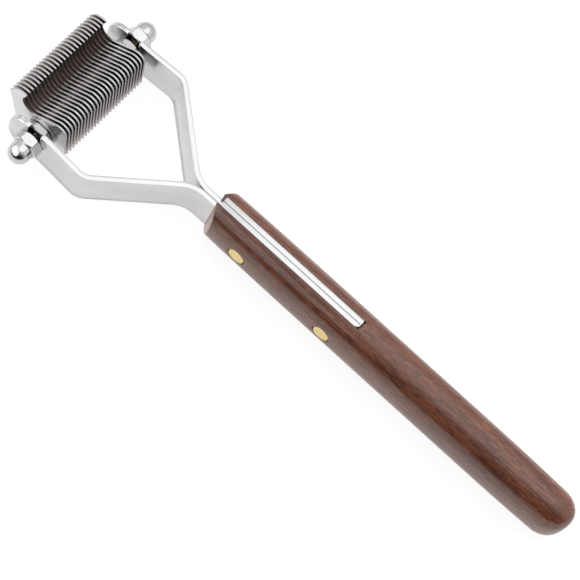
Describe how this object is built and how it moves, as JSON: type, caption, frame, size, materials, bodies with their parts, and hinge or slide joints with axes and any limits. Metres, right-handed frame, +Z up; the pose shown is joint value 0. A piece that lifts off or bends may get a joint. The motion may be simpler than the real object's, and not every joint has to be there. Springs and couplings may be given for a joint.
{
  "type": "deshedding tool",
  "caption": "Coat rake with a pack of hooked steel blades on a rod between two fork arms, fixed in a wooden handle by cross pins.",
  "frame": {"origin": "on the surface that the tool lies on, under the middle of its overall box", "axes": "+X from the butt of the handle to the blades, +Y to the left fork arm, +Z up with the blade hooks on top"},
  "size_m": [0.1864, 0.057, 0.0175],
  "materials": {
    "handle_wood": "satin varnished dark walnut",
    "pin_brass": "sanded flush",
    "fork_steel": "satin stainless strip, dressed edges",
    "blade_steel": "ground and polished stainless sheet",
    "spacer_steel": "plain turned rings",
    "rod_steel": "rolled thread",
    "nut_steel": "satin stainless nut and washer",
    "cap_chrome": "polished chrome"
  },
  "bodies": {
    "fork_and_handle": {"handle": "handle_wood", "front_handle_pin": "pin_brass", "rear_handle_pin": "pin_brass", "left_fork_arm": "fork_steel", "right_fork_arm": "fork_steel"},
    "rod": {"threaded_rod": "rod_steel", "left_lock_nut": "nut_steel", "right_lock_nut": "nut_steel", "left_washer": "nut_steel", "right_washer": "nut_steel"},
    "blade_pack": {"blade_spacers": "spacer_steel", "blade_01": "blade_steel", "blade_02": "blade_steel", "blade_03": "blade_steel", "blade_04": "blade_steel", "blade_05": "blade_steel", "blade_06": "blade_steel", "blade_07": "blade_steel", "blade_08": "blade_steel", "blade_09": "blade_steel", "blade_10": "blade_steel", "blade_11": "blade_steel", "blade_12": "blade_steel", "blade_13": "blade_steel", "blade_14": "blade_steel", "blade_15": "blade_steel", "blade_16": "blade_steel", "blade_17": "blade_steel", "blade_18": "blade_steel", "blade_19": "blade_steel", "blade_20": "blade_steel", "blade_21": "blade_steel", "blade_22": "blade_steel", "blade_23": "blade_steel", "blade_24": "blade_steel", "blade_25": "blade_steel", "blade_26": "blade_steel"},
    "left_cap_nut": {"left_cap_nut": "cap_chrome"},
    "right_cap_nut": {"right_cap_nut": "cap_chrome"}
  },
  "joints": [
    {"name": "head_lift", "type": "slide", "parent": "fork_and_handle", "child": "rod", "axis": [0, 0, 1], "range_m": [0, 0.016]},
    {"name": "pack_turn", "type": "hinge", "parent": "rod", "child": "blade_pack", "pos_m": [0.08023, 0, 0.00815], "axis": [0, 1, 0], "continuous": true},
    {"name": "left_nut_turn", "type": "hinge", "parent": "rod", "child": "left_cap_nut", "pos_m": [0.08023, 0.022, 0.00815], "axis": [0, 1, 0], "range_deg": [0, 720]},
    {"name": "right_nut_turn", "type": "hinge", "parent": "rod", "child": "right_cap_nut", "pos_m": [0.08023, -0.022, 0.00815], "axis": [0, -1, 0], "range_deg": [0, 720]}
  ]
}
